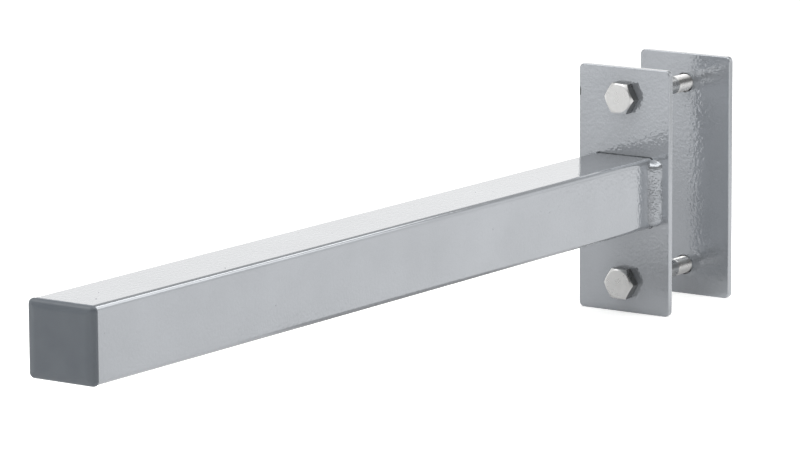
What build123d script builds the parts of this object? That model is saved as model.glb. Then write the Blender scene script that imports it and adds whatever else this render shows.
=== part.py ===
from build123d import *
import os
from math import cos, hypot, radians, sin, tan

# Storage rack divider arm. A square steel tube is welded to an upright plate. Two bolts draw a
# second, loose plate towards the first, so that the two clamp a rack upright between them.
#
# Millimetres. The origin is the middle of the front plate's face that meets the rack. The arm
# runs from there towards -Y, the clamp plate stands towards +Y, and +Z is up.

# Arm tube: a cold-formed square hollow section
tube_side = 40.0
tube_wall = 2.0
tube_inner_radius = 1.0
arm_length = 500.0

# End cap: a moulded insert, with a flange that covers the tube's end and a ribbed plug inside it
cap_flange_thickness = 4.0
cap_edge_radius = 2.2
cap_plug_length = 18.0
cap_plug_wall = 1.8
cap_plug_tip_chamfer = 0.8
cap_rib_count = 3
cap_rib_pitch = 5.0
cap_rib_height = 1.2
cap_rib_thickness = 1.0
cap_rib_slope = 30.0
cap_fit_clearance = 0.1

# Front plate and clamp plate: one blank, used twice
plate_width = 60.0
plate_height = 140.0
plate_thickness = 4.0
plate_corner_radius = 3.0
plate_edge_chamfer = 0.4
bolt_hole_diameter = 11.0
bolt_end_distance = 17.0
clamp_gap = 60.0

# Fillet welds: one bead down each side of the tube, and none above or below it
weld_leg_on_tube = 5.0
weld_leg_on_plate = 6.0
weld_crown = 0.9
weld_end_setback = 2.0
weld_end_radius = 3.0
weld_ripple_pitch = 3.3
weld_ripple_depth = 0.2
weld_ripple_crest = 0.65
weld_left_lift = 0.8

# Hexagon bolts, nuts and washers, size M10
bolt_diameter = 10.0
thread_diameter = 9.85
thread_length = 26.0
thread_end_chamfer = 0.8
hexagon_across_flats = 17.0
hexagon_chamfer_angle = 30.0
hexagon_chamfer_diameter = 15.6
bolt_head_height = 6.4
bolt_bearing_diameter = 15.5
bolt_bearing_thickness = 0.4
bolt_projection = 2.0
nut_height = 8.0
nut_countersink = 0.4
thread_clearance = 0.075
washer_hole_diameter = 10.5
washer_diameter = 20.0
washer_thickness = 2.0

# How far each hexagon was left turned about its bolt, in degrees
bolt_head_turn = {"upper": -3.0, "lower": -1.0}
nut_turn = {"upper": 12.0, "lower": -17.0}

# Places along Y, from the arm's free end to the tips of the bolts
arm_face_y = -plate_thickness
tube_end_y = arm_face_y - arm_length
clamp_back_y = clamp_gap + plate_thickness
washer_back_y = clamp_back_y + washer_thickness
nut_back_y = washer_back_y + nut_height
bolt_tip_y = nut_back_y + bolt_projection

# Sizes that follow from the ones above
tube_outer_radius = tube_inner_radius + tube_wall
tube_bore = tube_side - 2 * tube_wall
bolt_length = bolt_tip_y - arm_face_y
bolt_spacing = plate_height - 2 * bolt_end_distance
bolt_heights = {"upper": bolt_spacing / 2, "lower": -bolt_spacing / 2}


def upright(y, z=0.0):
    """An upright plane across the arm: X to the right, Z up, and its normal towards the arm's free end."""
    return Plane(origin=(0, y, z), x_dir=(1, 0, 0), z_dir=(0, -1, 0))


def lengthwise(z):
    """An upright plane along a bolt: its first direction runs towards the bolt's tip, its second is up."""
    return Plane(origin=(0, 0, z), x_dir=(0, 1, 0), z_dir=(1, 0, 0))


def chamfer_outline(end_y, inward):
    """The corner that a turned chamfer takes off a hexagon at end_y. The hexagon lies on the inward side."""
    start = hexagon_chamfer_diameter / 2
    reach = hexagon_across_flats
    depth = (reach - start) * tan(radians(hexagon_chamfer_angle))
    Polyline((end_y, start), (end_y, reach), (end_y + inward * depth, reach), close=True)


os.makedirs("parts", exist_ok=True)

# Arm tube
with BuildPart() as arm_tube:
    with BuildSketch(upright(arm_face_y)):
        RectangleRounded(tube_side, tube_side, tube_outer_radius)
        RectangleRounded(tube_bore, tube_bore, tube_inner_radius, mode=Mode.SUBTRACT)
    extrude(amount=arm_length)
arm_tube.part.label = "arm_tube"
export_step(arm_tube.part, "parts/arm_tube.step")

# End cap. Each rib is a thin fin that springs out to the tube's inner wall and leans back when
# the plug is driven in.
rib_side = tube_bore - 2 * cap_fit_clearance
plug_side = rib_side - 2 * cap_rib_height
plug_bore = plug_side - 2 * cap_plug_wall
with BuildPart() as end_cap:
    with BuildSketch(upright(tube_end_y)):
        RectangleRounded(tube_side, tube_side, tube_outer_radius)
    extrude(amount=cap_flange_thickness)
    fillet(end_cap.faces().sort_by(Axis.Y)[0].edges(), cap_edge_radius)
    with BuildSketch(upright(tube_end_y)):
        Rectangle(plug_side, plug_side)
    extrude(amount=-cap_plug_length)
    chamfer(end_cap.faces().sort_by(Axis.Y)[-1].edges(), cap_plug_tip_chamfer)
    for rib in range(cap_rib_count):
        with BuildSketch(upright(tube_end_y + (rib + 0.5) * cap_rib_pitch)):
            RectangleRounded(rib_side, rib_side, tube_inner_radius)
        extrude(amount=-cap_rib_thickness, taper=cap_rib_slope)
    with BuildSketch(upright(tube_end_y)):
        Rectangle(plug_bore, plug_bore)
    extrude(amount=-cap_plug_length, mode=Mode.SUBTRACT)
end_cap.part.label = "end_cap"
export_step(end_cap.part, "parts/end_cap.step")

# Front plate and clamp plate, each drawn on its face away from the arm
for plate_name, plate_back_y in {"front_plate": 0.0, "clamp_plate": clamp_back_y}.items():
    with BuildPart() as plate:
        with BuildSketch(upright(plate_back_y)):
            RectangleRounded(plate_width, plate_height, plate_corner_radius)
        extrude(amount=plate_thickness)
        chamfer(plate.faces().filter_by(Axis.Y).edges(), plate_edge_chamfer)
        with BuildSketch(upright(plate_back_y)):
            with GridLocations(0, bolt_spacing, 1, 2):
                Circle(bolt_hole_diameter / 2)
        extrude(amount=plate_thickness, mode=Mode.SUBTRACT)
    plate.part.label = plate_name
    export_step(plate.part, f"parts/{plate_name}.step")

# Weld beads. A bead is turned about an upright axis that lies behind the corner between tube and
# plate. The axis and the radius come from the two legs and the crown. The outline has one low
# crest for each ripple, and falls off in two flats at each end. What lies in the tube or behind
# the plate's face is then cut away, so the bead meets both all over, and follows the tube's
# rounded corners.
weld_chord = hypot(weld_leg_on_tube, weld_leg_on_plate)
weld_radius = (weld_chord**2 / 4 + weld_crown**2) / (2 * weld_crown)
axis_depth = (weld_radius - weld_crown) / weld_chord
half_bead = tube_side / 2 - weld_end_setback
half_run = half_bead - weld_end_radius
ripple_count = max(1, round(2 * half_run / weld_ripple_pitch))
ripple_length = 2 * half_run / ripple_count
valley_radius = weld_radius - weld_ripple_depth


def weld_outline():
    """The bead's outline, upwards: each point is its distance from the bead's axis and its height."""
    upper_end = []
    for turn in (radians(45), 0):
        out = valley_radius - weld_end_radius * (1 - sin(turn))
        up = half_bead - weld_end_radius * (1 - cos(turn))
        upper_end.append((out, up))
    lower_end = [(out, -up) for out, up in reversed(upper_end)]
    ripples = []
    for ripple in range(ripple_count):
        foot = ripple * ripple_length - half_run
        ripples.append((valley_radius, foot))
        ripples.append((weld_radius, foot + weld_ripple_crest * ripple_length))
    return [(0, -half_bead), *lower_end, *ripples, (valley_radius, half_run), *upper_end, (0, half_bead)]


for side_name, side, weld_height in (("left", -1, weld_left_lift), ("right", 1, 0.0)):
    axis_x = side * (tube_side / 2 + weld_leg_on_plate / 2 - axis_depth * weld_leg_on_tube)
    axis_y = arm_face_y - weld_leg_on_tube / 2 + axis_depth * weld_leg_on_plate
    weld_axis = Axis((axis_x, axis_y, weld_height), (0, 0, 1))
    with BuildPart() as weld_bead:
        with BuildSketch(Plane(origin=weld_axis.position, x_dir=(1, 0, 0), z_dir=(0, -1, 0))):
            with BuildLine():
                Polyline(weld_outline(), close=True)
            make_face()
        revolve(axis=weld_axis)
        with BuildSketch(upright(arm_face_y)):
            RectangleRounded(tube_side, tube_side, tube_outer_radius)
        extrude(amount=2 * weld_radius, mode=Mode.SUBTRACT)
        split(bisect_by=upright(arm_face_y), keep=Keep.TOP)
    weld_bead.part.label = f"weld_bead_{side_name}"
    export_step(weld_bead.part, f"parts/weld_bead_{side_name}.step")

# Hexagon bolts. The head's turned bearing face rests on the front plate. The shank is plain up to
# the thread, and the tip is chamfered.
for level, height in bolt_heights.items():
    bolt_axis = Axis((0, 0, height), (0, 1, 0))
    head_base_y = arm_face_y - bolt_bearing_thickness
    head_top_y = arm_face_y - bolt_head_height
    thread_start_y = bolt_tip_y - thread_length
    with BuildPart() as hex_bolt:
        with BuildSketch(upright(head_base_y, height)):
            RegularPolygon(
                hexagon_across_flats / 2, 6, major_radius=False, rotation=bolt_head_turn[level]
            )
        extrude(amount=bolt_head_height - bolt_bearing_thickness)
        with BuildSketch(lengthwise(height)):
            with BuildLine():
                chamfer_outline(head_top_y, inward=1)
            make_face()
        revolve(axis=bolt_axis, mode=Mode.SUBTRACT)
        with BuildSketch(upright(arm_face_y, height)):
            Circle(bolt_bearing_diameter / 2)
        extrude(amount=bolt_bearing_thickness)
        with BuildSketch(upright(arm_face_y, height)):
            Circle(bolt_diameter / 2)
        extrude(amount=-(bolt_length - thread_length))
        with BuildSketch(upright(thread_start_y, height)):
            Circle(thread_diameter / 2)
        extrude(amount=-thread_length)
        chamfer(hex_bolt.faces().sort_by(Axis.Y)[-1].edges(), thread_end_chamfer)
    hex_bolt.part.label = f"hex_bolt_{level}"
    export_step(hex_bolt.part, f"parts/hex_bolt_{level}.step")

# Washers, between the clamp plate and the nuts
for level, height in bolt_heights.items():
    with BuildPart() as washer:
        with BuildSketch(upright(washer_back_y, height)):
            Circle(washer_diameter / 2)
            Circle(washer_hole_diameter / 2, mode=Mode.SUBTRACT)
        extrude(amount=washer_thickness)
    washer.part.label = f"washer_{level}"
    export_step(washer.part, f"parts/washer_{level}.step")

# Hexagon nuts. The hexagon is chamfered at both ends, and the bore is countersunk at its outer end.
for level, height in bolt_heights.items():
    nut_axis = Axis((0, 0, height), (0, 1, 0))
    with BuildPart() as hex_nut:
        with BuildSketch(upright(nut_back_y, height)):
            RegularPolygon(
                hexagon_across_flats / 2, 6, major_radius=False, rotation=nut_turn[level]
            )
        extrude(amount=nut_height)
        with BuildSketch(lengthwise(height)):
            with BuildLine():
                chamfer_outline(washer_back_y, inward=1)
            make_face()
        revolve(axis=nut_axis, mode=Mode.SUBTRACT)
        with BuildSketch(lengthwise(height)):
            with BuildLine():
                chamfer_outline(nut_back_y, inward=-1)
            make_face()
        revolve(axis=nut_axis, mode=Mode.SUBTRACT)
        with BuildSketch(upright(nut_back_y, height)):
            Circle(thread_diameter / 2 + thread_clearance)
        extrude(amount=nut_height, mode=Mode.SUBTRACT)
        bore_rims = hex_nut.edges().filter_by(GeomType.CIRCLE).group_by(SortBy.RADIUS)[0]
        chamfer(bore_rims.sort_by(Axis.Y)[-1], nut_countersink)
    hex_nut.part.label = f"hex_nut_{level}"
    export_step(hex_nut.part, f"parts/hex_nut_{level}.step")
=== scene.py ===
import math
import bmesh
import bpy
from mathutils import Matrix, Vector, noise


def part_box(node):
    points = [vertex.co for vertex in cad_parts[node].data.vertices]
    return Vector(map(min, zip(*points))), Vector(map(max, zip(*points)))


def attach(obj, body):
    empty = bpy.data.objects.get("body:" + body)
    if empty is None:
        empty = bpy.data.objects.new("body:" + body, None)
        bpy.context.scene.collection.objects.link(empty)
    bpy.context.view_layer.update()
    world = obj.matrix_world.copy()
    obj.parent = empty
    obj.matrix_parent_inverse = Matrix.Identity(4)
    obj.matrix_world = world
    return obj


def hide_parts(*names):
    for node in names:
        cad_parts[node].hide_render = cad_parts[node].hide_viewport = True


# Storage rack divider arm. A powder-coated square tube is welded to an upright plate, which two
# zinc-plated bolts join to a loose clamp plate. The tube's free end has a moulded cap.

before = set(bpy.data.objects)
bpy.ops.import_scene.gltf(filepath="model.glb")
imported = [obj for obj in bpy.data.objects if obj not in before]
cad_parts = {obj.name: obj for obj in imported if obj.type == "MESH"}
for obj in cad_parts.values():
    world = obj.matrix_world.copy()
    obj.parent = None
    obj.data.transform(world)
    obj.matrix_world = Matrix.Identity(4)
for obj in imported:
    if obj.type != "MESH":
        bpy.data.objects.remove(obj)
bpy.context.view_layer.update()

# Sizes in metres, with shares, counts and seeds. Outer sizes and places come from the frame.
MM = 0.001
TUBE_WALL = 2.0 * MM
TUBE_INNER_RADIUS = 1.0 * MM
TUBE_OUTER_RADIUS = TUBE_INNER_RADIUS + TUBE_WALL
TUBE_CUT_ROUNDING = 0.35 * MM
TUBE_FIT_GAP = 0.6 * MM
PLATE_CORNER_RADIUS = 3.0 * MM
PLATE_EDGE_ROUNDING = 0.6 * MM
HOLE_RADIUS = 5.5 * MM
HOLE_EDGE_ROUNDING = 0.3 * MM
CAP_OVERHANG = 0.9 * MM
CAP_EDGE_RADIUS = 2.4 * MM
CAP_SHOULDER_WIDTH = 5.0 * MM
CAP_SHOULDER_DROP = 0.5 * MM
CAP_FACE_CORNER = 0.6 * MM
CAP_SEAM_ROUNDING = 0.4 * MM
CAP_DISH_DEPTH = 0.25 * MM
CAP_PLUG_WALL = 1.8 * MM
CAP_PLUG_CORNER = 1.0 * MM
CAP_TIP_CHAMFER = 0.8 * MM
RIB_COUNT = 3
RIB_PITCH = 5.0 * MM
RIB_HEIGHT = 1.2 * MM
RIB_THICKNESS = 1.0 * MM
RIB_LEAN = math.tan(math.radians(30))
CAP_FIT_CLEARANCE = 0.1 * MM
BEAD_LEG_ON_TUBE = 6.2 * MM
BEAD_LEG_ON_PLATE = 5.6 * MM
BEAD_CROWN = 0.9 * MM
BEAD_END_LENGTH = 4.0 * MM
BEAD_END_FULLNESS = 0.15
BEAD_END_BLUNTNESS = 0.6
BEAD_CRATER_DEPTH = 2.5 * MM
BEAD_CRATER_LENGTH = 5.0 * MM
BEAD_ROW_SPACING = 0.25 * MM
BEAD_TOE_WANDER = 0.3 * MM
BEAD_TOE_WAVE = 7.0 * MM
BEAD_RIGHT_TOP_RISE = 1.2 * MM
BEAD_LEFT_TOP_RISE = 1.7 * MM
BEAD_FOOT_DROP = 0.8 * MM
BEAD_RIGHT_SEED = 3.7
BEAD_LEFT_SEED = 8.2
RIPPLE_PITCH = 3.3 * MM
RIPPLE_DEPTH = 0.012 * MM
RIPPLE_BOW = 1.6 * MM
LUMP_SIZE = 4.0 * MM
LUMP_DEPTH = 0.3 * MM
WELD_GRIT_DEPTH = 0.45 * MM
HEXAGON_RADIUS = 8.5 * MM
HEXAGON_CHAMFER_RADIUS = 7.8 * MM
HEXAGON_CHAMFER_SLOPE = math.tan(math.radians(30))
HEXAGON_EDGE_SOFTENING = 0.16 * MM
# How far a face may tilt from the bolt's axis and still get the flanks' painted shade
FLANK_SHADE_TILT_LIMIT = 0.35
HEAD_BEARING_RADIUS = 7.75 * MM
HEAD_BEARING_THICKNESS = 0.4 * MM
SHANK_RADIUS = 5.0 * MM
THREAD_LENGTH = 26.0 * MM
THREAD_RUN_OUT = 3.0 * MM
THREAD_PITCH = 1.5 * MM
THREAD_CREST_RADIUS = 4.925 * MM
THREAD_DEPTH = 0.92 * MM
THREAD_TIP_RADIUS = 4.1 * MM
THREAD_CLEARANCE = 0.1 * MM
NUT_RIM_RADIUS = 5.4 * MM
WASHER_HOLE_RADIUS = 5.25 * MM
WASHER_PUNCHED_ROUNDING = 0.45 * MM
WASHER_CUT_ROUNDING = 0.12 * MM
PEEL_WAVE = 1.7 * MM
PEEL_DEPTH = 0.12 * MM
PEEL_LEFT_ON_ROUND_EDGES = 0.25
NIBS_PER_SQUARE_METRE = 500.0
NIB_SMALLEST_RADIUS = 0.15 * MM
NIB_LARGEST_RADIUS = 0.4 * MM
NIB_HEIGHT_SHARE = 0.6
NIB_SEED = 3
# The dark line of painted shade in the crease round the tube: its width, its fade and its raggedness
CORNER_LINE_WIDTH = 0.45 * MM
CORNER_LINE_FADE = 0.4 * MM
CORNER_LINE_RAGGEDNESS = 0.7 * MM
NICK_HEIGHT = 54.5 * MM
NICK_RADIUS = 2.2 * MM
NICK_FADE = 0.3 * MM
NICK_RAGGEDNESS = 2.4 * MM
NICK_STRETCH = 2.5
FLOOR_RADIUS = 8.0

# Hexagons are turned as the CAD nodes are, anticlockwise as seen from the arm's side
HEAD_TURN = {"upper": math.radians(-3), "lower": math.radians(-1)}
NUT_TURN = {"upper": math.radians(12), "lower": math.radians(-17)}

# How finely round forms are divided
CORNER_STEPS = 10
EDGE_STEPS = 4
HOLE_STEPS = 64
DISH_STEPS = 6
SHOULDER_STEPS = 5
BEAD_STEPS = 28
TURNED_STEPS = 48
BOLT_ROWS_PER_TURN = 8
NUT_ROWS_PER_TURN = 12
FLOOR_STEPS = 96

# How near points become one: in any piece, in a thread's sheet, and where a thread meets its piece
PIECE_MERGE = 0.001 * MM
THREAD_MERGE = 0.002 * MM
THREAD_JOIN = 0.005 * MM

# The angles, in degrees, from which edges are softened, or shaded sharp
SOFTENED_FROM = 25
SHARP_FROM = 38
BEAD_SHARP_FROM = 80

tube_low, tube_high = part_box("arm_tube")
cap_low, cap_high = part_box("end_cap")
front_low, front_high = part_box("front_plate")
clamp_low, clamp_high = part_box("clamp_plate")
tube_half = tube_high.x
arm_face_y = front_low.y
bolt_heights = {
    level: sum(corner.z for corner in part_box(f"washer_{level}")) / 2 for level in ("upper", "lower")
}


def linear(colour):
    """An sRGB hex colour as linear red, green, blue and alpha."""
    channels = [int(colour[i : i + 2], 16) / 255 for i in (1, 3, 5)]
    return [c / 12.92 if c <= 0.04045 else ((c + 0.055) / 1.055) ** 2.4 for c in channels] + [1.0]


def add(tree, kind, inputs=None, **settings):
    """Adds a node. Each input takes a value, another node's output, or a node for its first output."""
    node = tree.nodes.new(kind)
    for name, value in settings.items():
        setattr(node, name, value)
    for name, value in (inputs or {}).items():
        if isinstance(value, bpy.types.Node):
            value = value.outputs[0]
        if isinstance(value, bpy.types.NodeSocket):
            tree.links.new(value, node.inputs[name])
        else:
            node.inputs[name].default_value = value
    return node


# Materials


def new_material(name):
    """An empty node material, its tree, and the output node's surface socket."""
    material = bpy.data.materials.new(name)
    material.use_nodes = True
    tree = material.node_tree
    tree.nodes.clear()
    output = add(tree, "ShaderNodeOutputMaterial")
    return material, tree, output.inputs["Surface"]


def painted_crease_shade(tree, place, ragged):
    """Painted shade in the crease round the tube: a dark ragged line on the plate, in the inner corner round
    the tube.
    """
    level = add(tree, "ShaderNodeVectorMath", {0: place, 1: (1.0, 0.0, 1.0)}, operation="MULTIPLY")
    level = add(tree, "ShaderNodeVectorMath", {0: level}, operation="ABSOLUTE")
    straight = tube_half - TUBE_OUTER_RADIUS
    beyond = add(
        tree, "ShaderNodeVectorMath", {0: level, 1: (straight, straight, straight)}, operation="SUBTRACT"
    )
    beyond = add(tree, "ShaderNodeVectorMath", {0: beyond, 1: (0.0, 0.0, 0.0)}, operation="MAXIMUM")
    away = add(tree, "ShaderNodeVectorMath", {0: beyond}, operation="LENGTH").outputs["Value"]
    away = add(
        tree, "ShaderNodeMath", {0: ragged, 1: CORNER_LINE_RAGGEDNESS, 2: away}, operation="MULTIPLY_ADD"
    )
    edge = TUBE_OUTER_RADIUS + CORNER_LINE_WIDTH
    bare_or_shaded = add(
        tree,
        "ShaderNodeMapRange",
        {"Value": away, "From Min": edge, "From Max": edge + CORNER_LINE_FADE, "To Min": 1.0, "To Max": 0.0},
    )
    depth = add(tree, "ShaderNodeSeparateXYZ", {0: place}).outputs["Y"]
    on_arm_side = add(
        tree, "ShaderNodeMath", {0: depth, 1: arm_face_y + PLATE_EDGE_ROUNDING}, operation="LESS_THAN"
    )
    return add(tree, "ShaderNodeMath", {0: bare_or_shaded, 1: on_arm_side}, operation="MULTIPLY")


def nicked_on_edge(tree, place, ragged):
    """Where the plate's left edge was knocked through the coat: one short ragged upright nick."""
    nick = (front_low.x, arm_face_y, NICK_HEIGHT)
    squeezed = (1.0, 1.0, 1 / NICK_STRETCH)
    beside = add(tree, "ShaderNodeVectorMath", {0: place, 1: nick}, operation="SUBTRACT")
    beside = add(tree, "ShaderNodeVectorMath", {0: beside, 1: squeezed}, operation="MULTIPLY")
    away = add(tree, "ShaderNodeVectorMath", {0: beside}, operation="LENGTH").outputs["Value"]
    away = add(tree, "ShaderNodeMath", {0: ragged, 1: NICK_RAGGEDNESS, 2: away}, operation="MULTIPLY_ADD")
    edge = NICK_RADIUS
    return add(
        tree,
        "ShaderNodeMapRange",
        {"Value": away, "From Min": edge, "From Max": edge + NICK_FADE, "To Min": 1.0, "To Max": 0.0},
    )


def drawn_tight(tree, place):
    """How much orange peel is left on the tube: little on its round long edges."""
    level = add(tree, "ShaderNodeVectorMath", {0: place}, operation="ABSOLUTE")
    level = add(tree, "ShaderNodeSeparateXYZ", {0: level}).outputs
    inner = add(tree, "ShaderNodeMath", {0: level["X"], 1: level["Z"]}, operation="MINIMUM")
    straight = tube_half - TUBE_OUTER_RADIUS
    half_blend = 0.5 * MM
    return add(
        tree,
        "ShaderNodeMapRange",
        {
            "Value": inner,
            "From Min": straight - half_blend,
            "From Max": straight + half_blend,
            "To Min": 1.0,
            "To Max": PEEL_LEFT_ON_ROUND_EDGES,
        },
    )


def silver_powder_coat(name, grit_depth=0.0, bare_and_shaded_places=(), peel_left=None):
    """Polyester powder coat with aluminium flake, sprayed dry and stoved.

    The stoved film is glossy but never flat: it settles into an orange peel of 1 to 2 mm, which
    turns the edge of whatever is mirrored in it to grains. The flakes lie flat close under the
    skin, so half of the light is mirrored by metal, nearly sharp, and half is scattered by the
    polyester. Over a weld the film follows the steel, whose grit comes in patches. Each of the bare
    and shaded places is a function that says where the coat turns dark: dark steel where a nick
    shows through, and painted shade in the crease round the tube. peel_left is one that says how
    much peel is left where the melt drew tight.
    """
    material, tree, surface = new_material(name)
    place = add(tree, "ShaderNodeTexCoord").outputs["Object"]
    peel = add(tree, "ShaderNodeTexNoise", {"Vector": place, "Scale": 1 / PEEL_WAVE, "Detail": 1.0})
    # Flakes are some 30 microns across, too fine to show, so they are drawn ten times coarser
    flake = add(tree, "ShaderNodeTexNoise", {"Vector": place, "Scale": 1 / (0.35 * MM), "Detail": 1.0})
    cloud = add(tree, "ShaderNodeTexNoise", {"Vector": place, "Scale": 1 / (45 * MM), "Detail": 2.0})
    tone = add(tree, "ShaderNodeMath", {0: flake, 1: 0.35, 2: cloud}, operation="MULTIPLY_ADD")
    colour = add(tree, "ShaderNodeValToRGB", {"Fac": tone})
    dark, light = colour.color_ramp.elements
    dark.position, light.position = 0.45, 0.95
    dark.color, light.color = linear("#A5A9AE"), linear("#AFB3B8")
    gloss = add(
        tree,
        "ShaderNodeMapRange",
        {"Value": cloud, "From Min": 0.3, "From Max": 0.7, "To Min": 0.02, "To Max": 0.05},
    )
    strength = peel_left(tree, place) if peel_left else 1.0
    normal = add(tree, "ShaderNodeBump", {"Height": peel, "Strength": strength, "Distance": PEEL_DEPTH})
    if grit_depth:
        grit = add(tree, "ShaderNodeTexNoise", {"Vector": place, "Scale": 1 / (1.1 * MM), "Detail": 1.0})
        patches = add(tree, "ShaderNodeTexNoise", {"Vector": place, "Scale": 1 / (9 * MM), "Detail": 1.0})
        strength = add(tree, "ShaderNodeMapRange", {"Value": patches, "From Min": 0.34, "From Max": 0.48})
        normal = add(
            tree,
            "ShaderNodeBump",
            {"Height": grit, "Strength": strength, "Distance": grit_depth, "Normal": normal},
        )
    if bare_and_shaded_places:
        ragged = add(tree, "ShaderNodeTexNoise", {"Vector": place, "Scale": 1 / (3 * MM), "Detail": 2.0})
    # Darkens the coat at each place: dark steel at the nick, and painted shade in the crease round the tube
    for bare_or_shaded_place in bare_and_shaded_places:
        bare_or_shaded = bare_or_shaded_place(tree, place, ragged)
        colour = add(
            tree, "ShaderNodeMix", {0: bare_or_shaded, 6: colour, 7: linear("#4D5053")}, data_type="RGBA"
        ).outputs[2]
    coat = add(
        tree,
        "ShaderNodeBsdfPrincipled",
        {
            "Base Color": colour,
            "Metallic": 0.48,
            "Roughness": gloss,
            "Normal": normal,
            "Coat Weight": 1.0,
            "Coat Roughness": 0.02,
            "Coat Normal": normal,
        },
    )
    tree.links.new(coat.outputs["BSDF"], surface)
    return material


def moulded_polyethylene():
    """Low-density polyethylene, injection moulded in dark grey.

    The mould is lightly spark-eroded, so the skin is satin: a broad, weak sheen over a fine grain.
    """
    material, tree, surface = new_material("moulded_polyethylene_dark_grey")
    place = add(tree, "ShaderNodeTexCoord").outputs["Object"]
    grain = add(tree, "ShaderNodeTexNoise", {"Vector": place, "Scale": 1 / (0.4 * MM), "Detail": 2.0})
    cloud = add(tree, "ShaderNodeTexNoise", {"Vector": place, "Scale": 1 / (14 * MM), "Detail": 2.0})
    colour = add(tree, "ShaderNodeValToRGB", {"Fac": cloud})
    dark, light = colour.color_ramp.elements
    dark.position, light.position = 0.3, 0.7
    dark.color, light.color = linear("#5C6269"), linear("#62686E")
    bump = add(tree, "ShaderNodeBump", {"Height": grain, "Strength": 1.0, "Distance": 0.006 * MM})
    plastic = add(
        tree,
        "ShaderNodeBsdfPrincipled",
        {"Base Color": colour, "Roughness": 0.36, "IOR": 1.51, "Normal": bump},
    )
    tree.links.new(plastic.outputs["BSDF"], surface)
    return material


def painted_flank_shade(tree, place):
    """Where the fasteners' flanks and rims get painted shade, which stands in for the dark reflections they
    show: what lies far from the bolt's axis and faces outwards.

    The lower bolt's axis lies as far below the arm's as the upper one lies above it.
    """
    level = add(tree, "ShaderNodeVectorMath", {0: place}, operation="ABSOLUTE")
    axis = (0.0, 0.0, bolt_heights["upper"])
    level = add(tree, "ShaderNodeVectorMath", {0: level, 1: axis}, operation="SUBTRACT")
    level = add(tree, "ShaderNodeVectorMath", {0: level, 1: (1.0, 0.0, 1.0)}, operation="MULTIPLY")
    away = add(tree, "ShaderNodeVectorMath", {0: level}, operation="LENGTH").outputs["Value"]
    far = add(tree, "ShaderNodeMath", {0: away, 1: HEXAGON_CHAMFER_RADIUS}, operation="GREATER_THAN")
    facing = add(tree, "ShaderNodeTexCoord").outputs["Normal"]
    facing = add(tree, "ShaderNodeSeparateXYZ", {0: facing}).outputs["Y"]
    facing = add(tree, "ShaderNodeMath", {0: facing}, operation="ABSOLUTE")
    outwards = add(tree, "ShaderNodeMath", {0: facing, 1: FLANK_SHADE_TILT_LIMIT}, operation="LESS_THAN")
    return add(tree, "ShaderNodeMath", {0: far, 1: outwards}, operation="MULTIPLY")


def zinc_plated_steel():
    """Cold-forged steel with a bright electroplated zinc skin.

    The skin is a clean silver, nearly smooth, with faint stains and the forging's small dents. The
    hexagons' flanks and the washers' rims are painted darker, as painted shade for the dark
    reflections they show there.
    """
    material, tree, surface = new_material("bright_zinc_plated_steel")
    place = add(tree, "ShaderNodeTexCoord").outputs["Object"]
    stain = add(tree, "ShaderNodeTexNoise", {"Vector": place, "Scale": 1 / (4 * MM), "Detail": 2.0})
    dents = add(tree, "ShaderNodeTexNoise", {"Vector": place, "Scale": 1 / (1.2 * MM), "Detail": 2.0})
    colour = add(tree, "ShaderNodeValToRGB", {"Fac": stain})
    dark, light = colour.color_ramp.elements
    dark.position, light.position = 0.3, 0.7
    dark.color, light.color = linear("#D8D8D7"), linear("#E2E2E1")
    # Painted shade: flanks and rims are painted darker, for the dark reflections they show
    flank_shade = painted_flank_shade(tree, place)
    colour = add(
        tree, "ShaderNodeMix", {0: flank_shade, 6: colour, 7: linear("#A4A4A3")}, data_type="RGBA"
    ).outputs[2]
    gloss = add(
        tree,
        "ShaderNodeMapRange",
        {"Value": stain, "From Min": 0.3, "From Max": 0.7, "To Min": 0.26, "To Max": 0.32},
    )
    bump = add(tree, "ShaderNodeBump", {"Height": dents, "Strength": 1.0, "Distance": 0.008 * MM})
    zinc = add(
        tree,
        "ShaderNodeBsdfPrincipled",
        {"Base Color": colour, "Metallic": 1.0, "Roughness": gloss, "Normal": bump},
    )
    tree.links.new(zinc.outputs["BSDF"], surface)
    return material


# Mesh helpers


def rounded_rectangle(half_x, half_z, radius, y, inset=0.0):
    """Points round an upright rectangle with round corners, anticlockwise from the arm's side."""
    points = []
    for corner in range(4):
        middle_x = (half_x - radius) * (1 if corner in (0, 3) else -1)
        middle_z = (half_z - radius) * (1 if corner in (0, 1) else -1)
        for step in range(CORNER_STEPS + 1):
            angle = math.pi / 2 * (corner + step / CORNER_STEPS)
            reach = radius - inset
            points.append((middle_x + reach * math.cos(angle), y, middle_z + reach * math.sin(angle)))
    return points


def circle(radius, height, y, steps, turn=0.0):
    """Points round an upright circle about a bolt's axis. The radius may be one for each step."""
    radii = radius if isinstance(radius, list) else [radius] * steps
    points = []
    for step, reach in enumerate(radii):
        angle = turn + math.tau * step / steps
        points.append((reach * math.cos(angle), y, height + reach * math.sin(angle)))
    return points


def quarter_round(radius):
    """How far a rounded edge is set in, and how far along, from its face to its side."""
    turns = [math.pi / 2 * step / EDGE_STEPS for step in range(EDGE_STEPS + 1)]
    return [(radius * (1 - math.sin(turn)), radius * (1 - math.cos(turn))) for turn in turns]


def rounded_edges(start_y, end_y, radius):
    """How far in, and where along y, a side lies whose edges at both ends are rounded."""
    edge = quarter_round(radius)
    way = math.copysign(1.0, end_y - start_y)
    near = [(inset, start_y + way * along) for inset, along in edge]
    return near + [(inset, end_y - way * along) for inset, along in reversed(edge)]


def loft(bm, outlines, closed=False):
    """Joins outlines with equally many points by bands of faces, and returns their vertices."""
    rings = [[bm.verts.new(point) for point in outline] for outline in outlines]
    followers = rings[1:] + rings[:1] if closed else rings[1:]
    for near, far in zip(rings, followers):
        for i in range(len(near)):
            j = (i + 1) % len(near)
            bm.faces.new((near[i], near[j], far[j], far[i]))
    return rings


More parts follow.
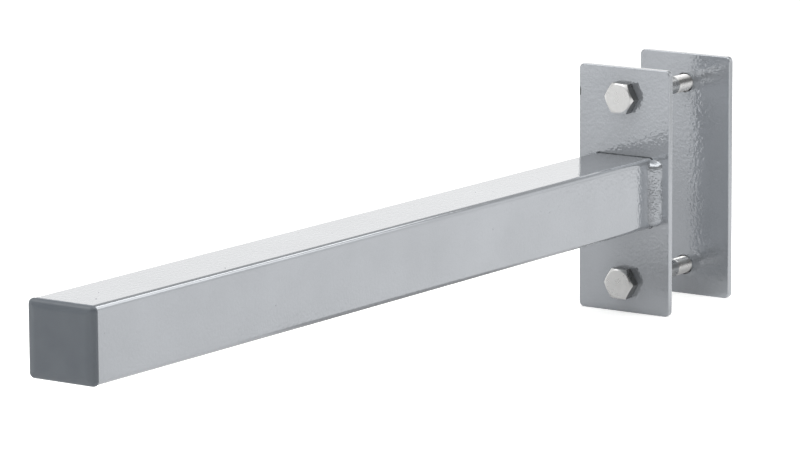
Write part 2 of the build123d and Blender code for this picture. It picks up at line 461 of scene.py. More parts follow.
def fill_between(bm, rings):
    """Fills the flat face that several rings of vertices bound."""
    edges = [bm.edges.get((ring[i - 1], ring[i])) for ring in rings for i in range(len(ring))]
    bmesh.ops.triangle_fill(bm, edges=edges, use_beauty=True)


def to_object(name, bm):
    """A new object at the origin from a bmesh, with its doubles merged and its faces outwards."""
    bmesh.ops.remove_doubles(bm, verts=bm.verts, dist=PIECE_MERGE)
    bmesh.ops.recalc_face_normals(bm, faces=bm.faces)
    mesh = bpy.data.meshes.new(name)
    bm.to_mesh(mesh)
    bm.free()
    thing = bpy.data.objects.new(name, mesh)
    bpy.context.scene.collection.objects.link(thing)
    return thing


def apply_modifiers(thing):
    """Turns an object with modifiers into a plain mesh."""
    graph = bpy.context.evaluated_depsgraph_get()
    mesh = bpy.data.meshes.new_from_object(thing.evaluated_get(graph))
    thing.modifiers.clear()
    thing.data = mesh


def soften(thing, width):
    """Rounds the edges where faces meet at a clear angle."""
    bevel = thing.modifiers.new("softened edges", "BEVEL")
    bevel.width = width
    bevel.segments = 2
    bevel.limit_method = "ANGLE"
    bevel.angle_limit = math.radians(SOFTENED_FROM)
    apply_modifiers(thing)


def finish_piece(thing, material, node, sharp_from=SHARP_FROM):
    """Smooths a piece's shading, gives it its material and puts it in the place of a CAD node."""
    if not thing.data.materials:
        thing.data.materials.append(material)
    thing.data.shade_smooth()
    thing.data.set_sharp_from_angle(angle=math.radians(sharp_from))
    weighted = thing.modifiers.new("flat faces stay flat", "WEIGHTED_NORMAL")
    weighted.keep_sharp = True
    apply_modifiers(thing)
    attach(thing, "root")
    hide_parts(node)


def run_tree(thing, tree, values):
    """Runs a Geometry Nodes tree on an object, with its named inputs set, and keeps the result."""
    modifier = thing.modifiers.new(tree.name, "NODES")
    modifier.node_group = tree
    for item in tree.interface.items_tree:
        if item.in_out == "INPUT" and item.name in values:
            modifier[item.identifier] = values[item.name]
    apply_modifiers(thing)


def new_tree(name, **inputs):
    """A Geometry Nodes tree with named inputs, and the sockets that give their values.

    The inputs' names are listed by their kind. Every tree also takes a geometry and a material.
    """
    tree = bpy.data.node_groups.new(name, "GeometryNodeTree")
    tree.interface.new_socket("Geometry", in_out="INPUT", socket_type="NodeSocketGeometry")
    for kind, labels in {**inputs, "Material": ["Material"]}.items():
        for label in labels:
            tree.interface.new_socket(label, in_out="INPUT", socket_type=f"NodeSocket{kind}")
    tree.interface.new_socket("Geometry", in_out="OUTPUT", socket_type="NodeSocketGeometry")
    return tree, add(tree, "NodeGroupInput").outputs


def end_tree(tree, geometry, given):
    """Ends a tree, and returns it: its instances become real faces and take their material."""
    real = add(tree, "GeometryNodeRealizeInstances", {"Geometry": geometry})
    painted = add(tree, "GeometryNodeSetMaterial", {"Geometry": real, "Material": given["Material"]})
    add(tree, "NodeGroupOutput", {"Geometry": painted})
    return tree


# Geometry Nodes trees


def thread_tree(name, end_rule):
    """A screw thread: a sheet is rolled about a bolt's axis, with its rows laid along the helix.

    The rows are cut off square at both ends. The start runs out to a rim, and end_rule says whether
    the end narrows to a chamfered tip or widens to a countersink.
    """
    outline = ["Root radius", "Crest radius", "Start radius", "Start slope", "End radius", "End slope"]
    tree, given = new_tree(
        name,
        Int=["Columns", "Rows"],
        Float=["Length", "Pitch", *outline, "Turn", "Phase"],
        Vector=["Place"],
    )
    sheet = add(tree, "GeometryNodeMeshGrid", {"Vertices X": given["Columns"], "Vertices Y": given["Rows"]})
    share = add(tree, "ShaderNodeSeparateXYZ", {0: sheet.outputs["UV Map"]})
    around = share.outputs["X"]

    # Each row lies along the helix, and is held between the thread's two ends
    reach = add(tree, "ShaderNodeMath", {0: given["Length"], 1: given["Pitch"]}, operation="ADD")
    climb = add(tree, "ShaderNodeMath", {0: around, 1: given["Pitch"]}, operation="MULTIPLY")
    along = add(tree, "ShaderNodeMath", {0: share.outputs["Y"], 1: reach}, operation="MULTIPLY")
    along = add(tree, "ShaderNodeMath", {0: along, 1: climb}, operation="SUBTRACT")
    along = add(tree, "ShaderNodeClamp", {"Value": along, "Min": 0.0, "Max": given["Length"]})
    left = add(tree, "ShaderNodeMath", {0: given["Length"], 1: along}, operation="SUBTRACT")

    # Each turn rises from its root to its crest and falls again. The root is flat for a quarter
    # of the pitch and the crest for an eighth.
    turns = add(tree, "ShaderNodeMath", {0: along, 1: given["Pitch"]}, operation="DIVIDE")
    turns = add(tree, "ShaderNodeMath", {0: turns, 1: around}, operation="ADD")
    turns = add(tree, "ShaderNodeMath", {0: turns, 1: given["Phase"]}, operation="ADD")
    wave = add(tree, "ShaderNodeMath", {0: turns, 1: 0.5}, operation="PINGPONG")
    profile = add(
        tree,
        "ShaderNodeMapRange",
        {
            "Value": wave,
            "From Min": 0.125,
            "From Max": 0.4375,
            "To Min": given["Root radius"],
            "To Max": given["Crest radius"],
        },
    )
    start = add(
        tree,
        "ShaderNodeMath",
        {0: along, 1: given["Start slope"], 2: given["Start radius"]},
        operation="MULTIPLY_ADD",
    )
    end = add(
        tree,
        "ShaderNodeMath",
        {0: left, 1: given["End slope"], 2: given["End radius"]},
        operation="MULTIPLY_ADD",
    )
    radius = add(tree, "ShaderNodeMath", {0: profile, 1: start}, operation="MAXIMUM")
    radius = add(tree, "ShaderNodeMath", {0: radius, 1: end}, operation=end_rule)

    angle = add(tree, "ShaderNodeMath", {0: around, 1: math.tau, 2: given["Turn"]}, operation="MULTIPLY_ADD")
    spot = add(tree, "ShaderNodeCombineXYZ", {"X": radius, "Y": along})
    spot = add(
        tree, "ShaderNodeVectorRotate", {"Vector": spot, "Angle": angle}, rotation_type="Y_AXIS", invert=True
    )
    rolled = add(tree, "GeometryNodeSetPosition", {"Geometry": sheet, "Position": spot})
    merged = add(tree, "GeometryNodeMergeByDistance", {"Geometry": rolled, "Distance": THREAD_MERGE})
    placed = add(tree, "GeometryNodeTransform", {"Geometry": merged, "Translation": given["Place"]})
    return end_tree(tree, placed, given)


def ripple_tree():
    """The skin of a weld bead: bowed ripples where each puddle froze, and finer lumps over them."""
    tree, given = new_tree(
        "weld_ripples",
        Float=["Ripple pitch", "Ripple depth", "Ripple bow", "Lump size", "Lump depth", "Shift"],
    )
    free = add(tree, "GeometryNodeInputNamedAttribute", {"Name": "free_surface"}, data_type="FLOAT")
    across = add(tree, "GeometryNodeInputNamedAttribute", {"Name": "across"}, data_type="FLOAT")
    position = add(tree, "GeometryNodeInputPosition")
    bow = add(tree, "ShaderNodeMath", {0: across, 1: 2.0}, operation="POWER")
    bow = add(
        tree, "ShaderNodeMath", {0: bow, 1: given["Ripple bow"], 2: given["Shift"]}, operation="MULTIPLY_ADD"
    )
    upwards = add(tree, "ShaderNodeCombineXYZ", {"Z": bow})
    bowed = add(tree, "ShaderNodeVectorMath", {0: position, 1: upwards}, operation="ADD")

    # A wave texture repeats each 2 pi / 20 of its own units
    ripple_scale = add(
        tree, "ShaderNodeMath", {0: math.tau / 20, 1: given["Ripple pitch"]}, operation="DIVIDE"
    )
    ripples = add(
        tree,
        "ShaderNodeTexWave",
        {"Vector": bowed, "Scale": ripple_scale, "Distortion": 2.0, "Detail": 1.0, "Detail Scale": 1.4},
        bands_direction="Z",
        wave_profile="SIN",
    )
    lump_scale = add(tree, "ShaderNodeMath", {0: 1.0, 1: given["Lump size"]}, operation="DIVIDE")
    lumps = add(tree, "ShaderNodeTexNoise", {"Vector": bowed, "Scale": lump_scale, "Detail": 1.0})

    # Both textures run from 0 to 1, so half of each depth is taken off again
    depths = add(
        tree, "ShaderNodeMath", {0: given["Ripple depth"], 1: given["Lump depth"]}, operation="ADD"
    )
    raised = add(tree, "ShaderNodeMath", {0: depths, 1: -0.5}, operation="MULTIPLY")
    for texture, depth in ((ripples, given["Ripple depth"]), (lumps, given["Lump depth"])):
        raised = add(
            tree,
            "ShaderNodeMath",
            {0: texture.outputs["Fac"], 1: depth, 2: raised},
            operation="MULTIPLY_ADD",
        )
    raised = add(tree, "ShaderNodeMath", {0: raised, 1: free}, operation="MULTIPLY")
    normal = add(tree, "GeometryNodeInputNormal")
    offset = add(tree, "ShaderNodeVectorMath", {0: normal, "Scale": raised}, operation="SCALE")
    moved = add(tree, "GeometryNodeSetPosition", {"Geometry": given["Geometry"], "Offset": offset})
    return end_tree(tree, moved, given)


def nib_tree():
    """Dust nibs under a coat: small low domes, set at random over a surface and joined to it."""
    tree, given = new_tree(
        "coated_nibs",
        Float=["Nibs per square metre", "Smallest radius", "Largest radius"],
        Int=["Seed"],
    )
    spots = add(
        tree,
        "GeometryNodeDistributePointsOnFaces",
        {"Mesh": given["Geometry"], "Density": given["Nibs per square metre"], "Seed": given["Seed"]},
    )
    radius = add(
        tree,
        "FunctionNodeRandomValue",
        {2: given["Smallest radius"], 3: given["Largest radius"], "Seed": given["Seed"]},
        data_type="FLOAT",
    ).outputs[1]
    flat = (1.0, 1.0, NIB_HEIGHT_SHARE)
    flattened = add(tree, "ShaderNodeVectorMath", {0: flat, "Scale": radius}, operation="SCALE")
    dome = add(tree, "GeometryNodeMeshIcoSphere", {"Radius": 1.0, "Subdivisions": 2})
    nibs = add(
        tree,
        "GeometryNodeInstanceOnPoints",
        {"Points": spots, "Instance": dome, "Rotation": spots.outputs["Rotation"], "Scale": flattened},
    )
    joined = add(tree, "GeometryNodeJoinGeometry", {"Geometry": given["Geometry"]})
    tree.links.new(nibs.outputs[0], joined.inputs[0])
    return end_tree(tree, joined, given)


def rib_tree():
    """A plug's sealing ribs: one rib repeated along the plug, and joined to it."""
    tree, given = new_tree("plug_ribs", Object=["Rib"], Int=["Count"], Float=["Pitch"])
    step = add(tree, "ShaderNodeCombineXYZ", {"Y": given["Pitch"]})
    places = add(tree, "GeometryNodeMeshLine", {"Count": given["Count"], "Offset": step}, mode="OFFSET")
    rib = add(tree, "GeometryNodeObjectInfo", {"Object": given["Rib"]}).outputs["Geometry"]
    ribs = add(tree, "GeometryNodeInstanceOnPoints", {"Points": places, "Instance": rib})
    joined = add(tree, "GeometryNodeJoinGeometry", {"Geometry": given["Geometry"]})
    tree.links.new(ribs.outputs[0], joined.inputs[0])
    return end_tree(tree, joined, given)


# Pieces


def make_tube(material):
    """The arm: a square hollow section, with the burrs taken off both of its cut ends."""
    plate_end_y = tube_high.y - TUBE_FIT_GAP
    outlines = [
        rounded_rectangle(tube_half, tube_half, TUBE_OUTER_RADIUS, y, inset)
        for inset, y in rounded_edges(plate_end_y, tube_low.y, TUBE_CUT_ROUNDING)
    ]
    bore_half = tube_half - TUBE_WALL
    for end_y in (tube_low.y, plate_end_y):
        outlines.append(rounded_rectangle(bore_half, bore_half, TUBE_INNER_RADIUS, end_y))
    bm = bmesh.new()
    loft(bm, outlines, closed=True)
    tube = to_object("powder_coated_tube", bm)
    run_tree(
        tube,
        nib_tree(),
        {
            "Nibs per square metre": NIBS_PER_SQUARE_METRE,
            "Smallest radius": NIB_SMALLEST_RADIUS,
            "Largest radius": NIB_LARGEST_RADIUS,
            "Seed": NIB_SEED,
            "Material": material,
        },
    )
    finish_piece(tube, material, "arm_tube")


def make_plate(name, node, low, high, material):
    """One of the two plates: laser-cut, with its corners rounded and two bolt holes."""
    bm = bmesh.new()
    outer = [
        rounded_rectangle(high.x, high.z, PLATE_CORNER_RADIUS, y, inset)
        for inset, y in rounded_edges(low.y, high.y, PLATE_EDGE_ROUNDING)
    ]
    rims = [loft(bm, outer)]
    for height in bolt_heights.values():
        hole = [
            circle(HOLE_RADIUS + inset, height, y, HOLE_STEPS)
            for inset, y in rounded_edges(low.y, high.y, HOLE_EDGE_ROUNDING)
        ]
        rims.append(loft(bm, hole))
    fill_between(bm, [rings[0] for rings in rims])
    fill_between(bm, [rings[-1] for rings in rims])
    plate = to_object(name, bm)
    finish_piece(plate, material, node)


def make_cap(material):
    """The end cap: a flange with a gently dished face, and a ribbed plug inside the tube.

    Round the dish a shoulder falls away to the rounded edge, and the flange overhangs the tube's sides.
    """
    flange_y = tube_low.y
    rib_half = tube_half - TUBE_WALL - CAP_FIT_CLEARANCE
    plug_half = rib_half - RIB_HEIGHT
    plug_bore = plug_half - CAP_PLUG_WALL
    outlines = []
    face_half = tube_half - CAP_SHOULDER_WIDTH
    for step in range(1, DISH_STEPS + 1):
        share = step / DISH_STEPS
        depth = CAP_DISH_DEPTH * (1 - share**2)
        half = face_half * share
        outlines.append(rounded_rectangle(half, half, CAP_FACE_CORNER * share, cap_low.y + depth))
    brow = []
    for step in range(1, SHOULDER_STEPS):
        share = step / SHOULDER_STEPS
        inset = CAP_SHOULDER_WIDTH + (CAP_EDGE_RADIUS - CAP_SHOULDER_WIDTH) * share
        brow.append((inset, CAP_SHOULDER_DROP * share**2))
    brow += [(inset, CAP_SHOULDER_DROP + along) for inset, along in quarter_round(CAP_EDGE_RADIUS)]
    for inset, along in brow:
        half = tube_half - inset
        corner = max(CAP_FACE_CORNER, TUBE_OUTER_RADIUS - inset)
        share = 1 - inset / CAP_SHOULDER_WIDTH
        outlines.append(rounded_rectangle(half + CAP_OVERHANG * share, half, corner, cap_low.y + along))
    flange_half = tube_half + CAP_OVERHANG
    for inset, along in reversed(quarter_round(CAP_SEAM_ROUNDING)):
        seam_y = flange_y - along
        outlines.append(rounded_rectangle(flange_half, tube_half, TUBE_OUTER_RADIUS, seam_y, inset))
    tip_y = cap_high.y
    for half, y in (
        (plug_half, flange_y),
        (plug_half, tip_y - CAP_TIP_CHAMFER),
        (plug_half - CAP_TIP_CHAMFER, tip_y),
        (plug_bore, tip_y),
        (plug_bore, flange_y),
    ):
        outlines.append(rounded_rectangle(half, half, CAP_PLUG_CORNER, y))
    bm = bmesh.new()
    rings = loft(bm, outlines)
    bm.faces.new(rings[0])
    bm.faces.new(rings[-1])
    cap = to_object("moulded_end_cap", bm)

    first_rib_y = flange_y + 0.5 * RIB_PITCH
    rib_back_y = first_rib_y + RIB_THICKNESS
    root_half = plug_half - CAP_FIT_CLEARANCE
    back_half = rib_half - RIB_THICKNESS * RIB_LEAN
    corners = (
        (root_half, CAP_PLUG_CORNER, first_rib_y),
        (rib_half, TUBE_INNER_RADIUS, first_rib_y),
        (back_half, TUBE_INNER_RADIUS, rib_back_y),
        (root_half, CAP_PLUG_CORNER, rib_back_y),
    )
    bm = bmesh.new()
    loft(bm, [rounded_rectangle(half, half, radius, y) for half, radius, y in corners], closed=True)
    rib = to_object("one_rib", bm)
    run_tree(
        cap, rib_tree(), {"Rib": rib, "Count": RIB_COUNT, "Pitch": RIB_PITCH, "Material": material}
    )
    bpy.data.objects.remove(rib)
    finish_piece(cap, material, "end_cap")


def tube_side_at(height):
    """How far out the tube's side lies at a height, round corners included."""
    above = max(0.0, abs(height) - (tube_half - TUBE_OUTER_RADIUS))
    return tube_half - TUBE_OUTER_RADIUS + math.sqrt(max(0.0, TUBE_OUTER_RADIUS**2 - above**2))


def bead_row(side, height, low_z, high_z, seed):
    """One level outline through a bead, from the corner round its crown, and how far across.

    The weld was run upwards, so its top end sinks into a crater.
    """
    from_end = min(height - low_z, high_z - height)
    tapered = math.sin(math.pi / 2 * min(1.0, from_end / BEAD_END_LENGTH)) ** BEAD_END_BLUNTNESS
    fullness = BEAD_END_FULLNESS + (1 - BEAD_END_FULLNESS) * tapered
    wander = noise.noise(Vector((seed, 0.0, height / BEAD_TOE_WAVE)))
    wobble = noise.noise(Vector((0.0, seed, height / BEAD_TOE_WAVE)))
    leg_on_tube = (BEAD_LEG_ON_TUBE + BEAD_TOE_WANDER * wander) * fullness
    leg_on_plate = (BEAD_LEG_ON_PLATE + BEAD_TOE_WANDER * wobble) * fullness
    from_crater = min(1.0, (high_z - height) / BEAD_CRATER_LENGTH)
    sunk = BEAD_CRATER_DEPTH * (1 - math.sin(math.pi / 2 * from_crater))
    crown = (BEAD_CROWN - sunk) * fullness
    wall = tube_side_at(height)
    toe_on_tube = Vector((wall, arm_face_y - leg_on_tube))
    toe_on_plate = Vector((wall + leg_on_plate, arm_face_y))
    outwards = Vector((leg_on_tube, -leg_on_plate)).normalized()
    points = [(side * wall, arm_face_y, height)]
    across = [0.0]
    for step in range(BEAD_STEPS + 1):
        share = step / BEAD_STEPS
        rise = crown * (1 - (2 * share - 1) ** 2)
        spot = toe_on_tube.lerp(toe_on_plate, share) + outwards * rise
        points.append((side * spot.x, spot.y, height))
        across.append(2 * share - 1)
    return points, across


def make_bead(name, node, side, top_rise, seed, material, tree):
    """A fillet weld down one side of the tube. Its ends die out in the tube's round corners."""
    low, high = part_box(node)
    low.z -= BEAD_FOOT_DROP
    high.z += top_rise
    rows = round((high.z - low.z) / BEAD_ROW_SPACING)
    bm = bmesh.new()
    free_layer = bm.verts.layers.float.new("free_surface")
    across_layer = bm.verts.layers.float.new("across")
    rings = []
    for row in range(rows + 1):
        height = low.z + (high.z - low.z) * row / rows
        points, across = bead_row(side, height, low.z, high.z, seed)
        ring = [bm.verts.new(point) for point in points]
        for vertex, share in zip(ring, across):
            vertex[across_layer] = share
        # The skin is wholly free but for the eighth of its width along each toe
        for vertex, share in zip(ring[2:-1], across[2:-1]):
            vertex[free_layer] = min(1.0, 4 * (1 - abs(share)))
        if rings:
            for i in range(len(ring)):
                bm.faces.new((rings[-1][i - 1], rings[-1][i], ring[i], ring[i - 1]))
        rings.append(ring)
    bm.faces.new(rings[0])
    bm.faces.new(rings[-1])
    bead = to_object(name, bm)
    run_tree(
        bead,
        tree,
        {
            "Ripple pitch": RIPPLE_PITCH,
            "Ripple depth": RIPPLE_DEPTH,
            "Ripple bow": RIPPLE_BOW,
            "Lump size": LUMP_SIZE,
            "Lump depth": LUMP_DEPTH,
            "Shift": seed * MM,
            "Material": material,
        },
    )
    finish_piece(bead, material, node, BEAD_SHARP_FROM)


def hexagon_radii():
    """How far out a hexagon's side lies at each step round it, from one corner on."""
    radii = []
    for step in range(TURNED_STEPS):
        from_corner = math.tau * step / TURNED_STEPS % (math.tau / 6)
        radii.append(HEXAGON_RADIUS / math.cos(from_corner - math.tau / 12))
    return radii


def chamfered_end(end_y, inwards, height, turn):
    """A hexagon's chamfered end: the flat circle, and the scalloped line where the cone leaves it."""
    radii = hexagon_radii()
    flat = circle(HEXAGON_CHAMFER_RADIUS, height, end_y, TURNED_STEPS, turn)
    scalloped = []
    for (x, _, z), reach in zip(circle(radii, height, end_y, TURNED_STEPS, turn), radii):
        depth = (reach - HEXAGON_CHAMFER_RADIUS) * HEXAGON_CHAMFER_SLOPE
        scalloped.append((x, end_y + inwards * depth, z))
    return [flat, scalloped]


def add_thread(thing, material, tree, place, turn, length, rows_per_turn, profile):
    """Rolls a thread from its tree and joins it to the open end of a turned piece."""
    carrier = bpy.data.objects.new("thread", bpy.data.meshes.new("thread"))
    bpy.context.scene.collection.objects.link(carrier)
    rows = round((length + THREAD_PITCH) / THREAD_PITCH * rows_per_turn)
    sizes = {"Columns": TURNED_STEPS + 1, "Rows": rows + 1, "Length": length, "Pitch": THREAD_PITCH}
    run_tree(carrier, tree, {**sizes, **profile, "Turn": turn, "Place": place, "Material": material})
    bm = bmesh.new()
    bm.from_mesh(thing.data)
    bm.from_mesh(carrier.data)
    bmesh.ops.remove_doubles(bm, verts=bm.verts, dist=THREAD_JOIN)
    open_edges = [edge for edge in bm.edges if edge.is_boundary]
    if open_edges:
        bmesh.ops.contextual_create(bm, geom=open_edges)
    bmesh.ops.recalc_face_normals(bm, faces=bm.faces)
    bm.to_mesh(thing.data)
    bm.free()
    bpy.data.objects.remove(carrier)


def make_bolt(level, material, tree):
    """A hexagon bolt: a chamfered head with a turned bearing face, a plain shank and its thread."""
    node = f"hex_bolt_{level}"
    low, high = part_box(node)
    height = bolt_heights[level]
    turn = HEAD_TURN[level]
    bearing_y = arm_face_y - HEAD_BEARING_THICKNESS
    thread_length = THREAD_LENGTH + THREAD_RUN_OUT
    thread_y = high.y - thread_length
    outlines = chamfered_end(low.y, 1, height, turn)
    outlines.append(circle(hexagon_radii(), height, bearing_y, TURNED_STEPS, turn))
    for radius, y in (
        (HEAD_BEARING_RADIUS, bearing_y),
        (HEAD_BEARING_RADIUS, arm_face_y),
        (SHANK_RADIUS, arm_face_y),
        (SHANK_RADIUS, thread_y),
    ):
        outlines.append(circle(radius, height, y, TURNED_STEPS, turn))
    bm = bmesh.new()
    rings = loft(bm, outlines)
    bm.faces.new(rings[0])
    bolt = to_object(f"zinc_plated_bolt_{level}", bm)
    soften(bolt, HEXAGON_EDGE_SOFTENING)
    profile = {
        "Root radius": THREAD_CREST_RADIUS - THREAD_DEPTH,
        "Crest radius": THREAD_CREST_RADIUS,
        "Start radius": SHANK_RADIUS,
        "Start slope": -THREAD_DEPTH / THREAD_RUN_OUT,
        "End radius": THREAD_TIP_RADIUS,
        "End slope": 1.0,
        "Phase": 0.0,
    }
    place = (0.0, thread_y, height)
    add_thread(bolt, material, tree, place, turn, thread_length, BOLT_ROWS_PER_TURN, profile)
    finish_piece(bolt, material, node)


def make_nut(level, material, tree):
    """A hexagon nut, chamfered at both ends, whose thread follows its bolt's."""
    node = f"hex_nut_{level}"
    low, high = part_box(node)
    height = bolt_heights[level]
    turn = NUT_TURN[level]
    rims = [circle(NUT_RIM_RADIUS, height, y, TURNED_STEPS, turn) for y in (low.y, high.y)]
    sides = chamfered_end(low.y, 1, height, turn) + chamfered_end(high.y, -1, height, turn)[::-1]
    bm = bmesh.new()
    loft(bm, [rims[0], *sides, rims[1]])
    nut = to_object(f"zinc_plated_nut_{level}", bm)
    soften(nut, HEXAGON_EDGE_SOFTENING)
    bolt_high_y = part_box(f"hex_bolt_{level}")[1].y
    from_thread_start = low.y - (bolt_high_y - THREAD_LENGTH - THREAD_RUN_OUT)
    profile = {
        "Root radius": THREAD_CREST_RADIUS - THREAD_DEPTH + THREAD_CLEARANCE,
        "Crest radius": THREAD_CREST_RADIUS + THREAD_CLEARANCE,
        "Start radius": NUT_RIM_RADIUS,
        "Start slope": -1.0,
        "End radius": NUT_RIM_RADIUS,
        "End slope": -1.0,
        "Phase": from_thread_start / THREAD_PITCH + (turn - HEAD_TURN[level]) / math.tau,
    }
    place = (0.0, low.y, height)
    add_thread(nut, material, tree, place, turn, high.y - low.y, NUT_ROWS_PER_TURN, profile)
    finish_piece(nut, material, node)


def make_washer(level, material):
    """A punched washer: one side has rounded rims from the punch, the other has sharp ones."""
    node = f"washer_{level}"
    low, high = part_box(node)
    height = bolt_heights[level]
    outer = high.x
    soft = quarter_round(WASHER_PUNCHED_ROUNDING)
    sharp = quarter_round(WASHER_CUT_ROUNDING)
    profile = [(WASHER_HOLE_RADIUS + inset, high.y - along) for inset, along in reversed(soft)]
    profile += [(outer - inset, high.y - along) for inset, along in soft]
    profile += [(outer - inset, low.y + along) for inset, along in reversed(sharp)]
    profile += [(WASHER_HOLE_RADIUS + inset, low.y + along) for inset, along in sharp]
    bm = bmesh.new()
    loft(bm, [circle(radius, height, y, HOLE_STEPS) for radius, y in profile], closed=True)
    washer = to_object(f"zinc_plated_washer_{level}", bm)
    finish_piece(washer, material, node)


# Studio. Each dim patch of the floor is painted shade in its glow, seen only in reflections. Each
# has its place across and along, its radius, the width of its soft edge, and the share of the
# floor's glow that is left in it.
DIM_PATCHES = {
    "below the plates": (-0.11, -0.155, 0.2, 0.05, 0.64),
    "left of the arm": (-0.27, -0.38, 0.2, 0.35, 0.7),
    "between the plates": (-0.01, 0.03, 0.03, 0.02, 0.4),
    "beside the bolt heads": (0.03, -0.17, 0.08, 0.05, 0.1),
    "behind, to the left": (-0.25, 0.38, 0.3, 0.1, 0.5),
    "behind, to the right": (0.5, 0.72, 0.2, 0.25, 0.5),
}


def kinds_of_ray(tree):
    """Whether the camera itself sees a surface, and whether it is seen in a mirror or glass."""
    ray = add(tree, "ShaderNodeLightPath").outputs
    mirrored = add(
        tree, "ShaderNodeMath", {0: ray["Is Glossy Ray"], 1: ray["Is Transmission Ray"]}, operation="MAXIMUM"
    )
    return ray["Is Camera Ray"], mirrored


def studio_world(fill, behind_camera, ceiling):
    """White as a background, and dim where reflections see it on the camera's side or overhead."""
    world = bpy.data.worlds.new("studio")
    bpy.context.scene.world = world
    world.use_nodes = True
    tree = world.node_tree
    tree.nodes.clear()
    seen_by_camera, mirrored = kinds_of_ray(tree)
    direction = add(tree, "ShaderNodeTexCoord").outputs["Generated"]
    upwards = add(tree, "ShaderNodeSeparateXYZ", {0: direction}).outputs["Z"]
    backwards = add(
        tree,
        "ShaderNodeVectorMath",
        {0: direction, 1: (-math.sin(CAMERA_TURN), math.cos(CAMERA_TURN), 0.0)},
        operation="DOT_PRODUCT",
    ).outputs["Value"]
    backdrop = add(
        tree,
        "ShaderNodeMapRange",
        {"Value": backwards, "From Min": -0.85, "From Max": 0.3, "To Min": behind_camera, "To Max": 1.0},
    )
    above = add(
        tree,
        "ShaderNodeMapRange",
        {"Value": upwards, "From Min": 0.32, "From Max": 0.55, "To Min": 1.0, "To Max": ceiling},
        interpolation_type="SMOOTHSTEP",
    )
    backdrop = add(tree, "ShaderNodeMath", {0: backdrop, 1: above}, operation="MULTIPLY")
    strength = add(tree, "ShaderNodeMix", {0: mirrored, 2: fill, 3: backdrop}, data_type="FLOAT")
    strength = add(tree, "ShaderNodeMix", {0: seen_by_camera, 2: strength, 3: 1.0}, data_type="FLOAT")
    light = add(tree, "ShaderNodeBackground", {"Color": linear("#FFFFFF"), "Strength": strength})
    add(tree, "ShaderNodeOutputWorld", {"Surface": light})


def pale_floor(height, lift_for_camera, glow_in_reflections):
    """A wide pale floor. Lit, it is as white as the background, and the arm's shadow stays on it.

    Reflections see it half lit and half glowing, and the glow is dimmer in round patches of painted shade.
    """
    material, tree, surface = new_material("pale_floor")
    seen_by_camera, mirrored = kinds_of_ray(tree)
    place = add(tree, "ShaderNodeTexCoord").outputs["Object"]
    glow = add(tree, "ShaderNodeMath", {0: mirrored, 1: glow_in_reflections}, operation="MULTIPLY")
    for across, along, radius, edge, share in DIM_PATCHES.values():
        away = add(
            tree, "ShaderNodeVectorMath", {0: place, 1: (across, along, height)}, operation="DISTANCE"
        ).outputs["Value"]
        patch = add(
            tree,
            "ShaderNodeMapRange",
            {"Value": away, "From Min": radius, "From Max": radius + edge, "To Min": share},
        )
        glow = add(tree, "ShaderNodeMath", {0: glow, 1: patch}, operation="MULTIPLY")
    glow = add(
        tree, "ShaderNodeMath", {0: seen_by_camera, 1: lift_for_camera, 2: glow}, operation="MULTIPLY_ADD"
    )
    colour = add(
        tree, "ShaderNodeMix", {0: mirrored, 6: linear("#F4F4F3"), 7: linear("#A0A0A0")}, data_type="RGBA"
    ).outputs[2]
    paint = add(
        tree,
        "ShaderNodeBsdfPrincipled",
        {
            "Base Color": colour,
            "Roughness": 0.9,
            "Specular IOR Level": 0.0,
            "Emission Color": linear("#FFFFFF"),
            "Emission Strength": glow,
        },
    )
    tree.links.new(paint.outputs["BSDF"], surface)
    bm = bmesh.new()
    bmesh.ops.create_circle(bm, cap_ends=True, radius=FLOOR_RADIUS, segments=FLOOR_STEPS)
    bmesh.ops.translate(bm, verts=bm.verts, vec=(0, 0, height))
    mesh = bpy.data.meshes.new("pale_floor")
    bm.to_mesh(mesh)
    bm.free()
    mesh.materials.append(material)
    floor = bpy.data.objects.new("pale_floor", mesh)
    bpy.context.scene.collection.objects.link(floor)


def softbox(name, place, target, width, height, power):
    """A rectangular lamp that faces the target."""
    lamp = bpy.data.lights.new(name, "AREA")
    lamp.shape = "RECTANGLE"
    lamp.size = width
    lamp.size_y = height
    lamp.energy = power
    thing = bpy.data.objects.new(name, lamp)
    thing.location = place
    thing.rotation_mode = "QUATERNION"
    thing.rotation_quaternion = (Vector(target) - Vector(place)).to_track_quat("-Z", "Y")
    bpy.context.scene.collection.objects.link(thing)


# Camera, as it stood for the photograph, about the middle of the front plate's outer face
CAMERA_TURN = 0.61585
CAMERA_RISE = 0.18374
CAMERA_ROLL = -0.00594
CAMERA_DISTANCE = 2835.165 * MM
CAMERA_ASIDE = 126.177 * MM
CAMERA_ABOVE = 19.996 * MM
SENSOR_WIDTH = 36.0
LENS = 226.27


def make_camera():
    """The camera of the photograph: a long lens, to the right of the arm and a little above it."""
    forward = Vector(
        (
            -math.sin(CAMERA_TURN) * math.cos(CAMERA_RISE),
            math.cos(CAMERA_TURN) * math.cos(CAMERA_RISE),
            -math.sin(CAMERA_RISE),
        )
    )
    right = Vector((math.cos(CAMERA_TURN), math.sin(CAMERA_TURN), 0.0))
    up = right.cross(forward)
    rolled_right = math.cos(CAMERA_ROLL) * right + math.sin(CAMERA_ROLL) * up
    rolled_up = math.cos(CAMERA_ROLL) * up - math.sin(CAMERA_ROLL) * right
    aimed_at = Vector((0, arm_face_y, 0)) - CAMERA_ASIDE * rolled_right - CAMERA_ABOVE * rolled_up
    lens = bpy.data.cameras.new("camera")
    lens.sensor_width = SENSOR_WIDTH
    lens.lens = LENS
    lens.clip_start = 0.1
    lens.clip_end = 50.0
    camera = bpy.data.objects.new("camera", lens)
    turn = Matrix((rolled_right, rolled_up, -forward)).transposed()
    camera.matrix_world = Matrix.Translation(aimed_at - CAMERA_DISTANCE * forward) @ turn.to_4x4()
    bpy.context.scene.collection.objects.link(camera)
    bpy.context.scene.camera = camera


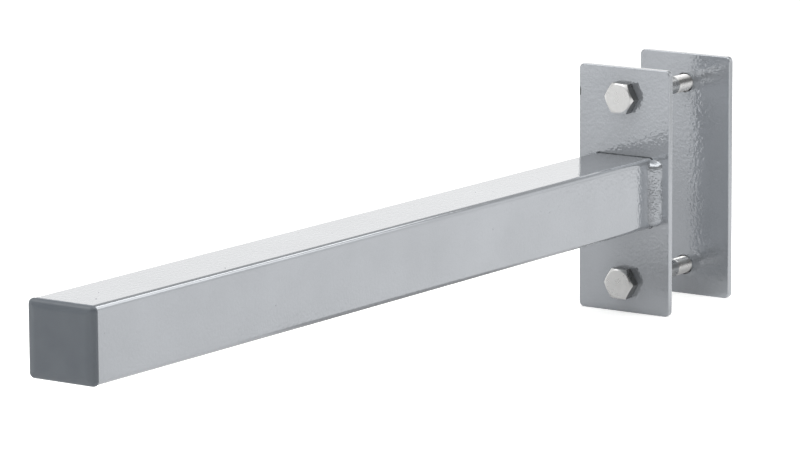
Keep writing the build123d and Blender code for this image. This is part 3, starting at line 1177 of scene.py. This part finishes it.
coat = silver_powder_coat("silver_powder_coat")
coat_on_tube = silver_powder_coat("silver_powder_coat_on_tube", peel_left=drawn_tight)
# The front plate's coat carries a nick, and a dark line of painted shade in the crease round the tube
coat_round_tube = silver_powder_coat(
    "silver_powder_coat_round_tube", bare_and_shaded_places=[painted_crease_shade, nicked_on_edge]
)
coat_on_weld = silver_powder_coat("silver_powder_coat_on_weld", grit_depth=WELD_GRIT_DEPTH)
plastic = moulded_polyethylene()
zinc = zinc_plated_steel()

make_tube(coat_on_tube)
make_plate("powder_coated_front_plate", "front_plate", front_low, front_high, coat_round_tube)
make_plate("powder_coated_clamp_plate", "clamp_plate", clamp_low, clamp_high, coat)
make_cap(plastic)
ripples = ripple_tree()
make_bead("weld_right", "weld_bead_right", 1, BEAD_RIGHT_TOP_RISE, BEAD_RIGHT_SEED, coat_on_weld, ripples)
make_bead("weld_left", "weld_bead_left", -1, BEAD_LEFT_TOP_RISE, BEAD_LEFT_SEED, coat_on_weld, ripples)
bolt_thread = thread_tree("bolt_thread", "MINIMUM")
nut_thread = thread_tree("nut_thread", "MAXIMUM")
for level in bolt_heights:
    make_bolt(level, zinc, bolt_thread)
    make_nut(level, zinc, nut_thread)
    make_washer(level, zinc)

studio_world(fill=0.4, behind_camera=0.1, ceiling=0.3)
pale_floor(front_low.z, lift_for_camera=0.5, glow_in_reflections=0.74)

# Where each lamp is, the point it faces, its width and height, and its power in watts
softbox("overhead_softbox", (-0.1, -0.2, 1.6), (-0.1, -0.2, 0), 2.4, 2.4, 18)
softbox("top_softbox", (0.38, 0.0, 1.5), (0, 0, 0), 0.85, 0.85, 3.4)
softbox("front_softbox", (-0.46, -1.43, 1.09), (0, 0, 0), 2.0, 0.9, 5.2)
softbox("side_softbox", (1.0, 0.8, 1.0), (0, 0, 0), 0.9, 0.9, 3.5)
softbox("back_softbox", (0.34, 0.735, 1.0), (0.34, 0.735, 0), 0.35, 0.9, 2.5)
softbox("cap_softbox", (-0.8, -1.0, 1.04), (0, -0.5, 0), 0.95, 0.95, 3.8)
make_camera()

bpy.context.scene.view_settings.view_transform = "Standard"
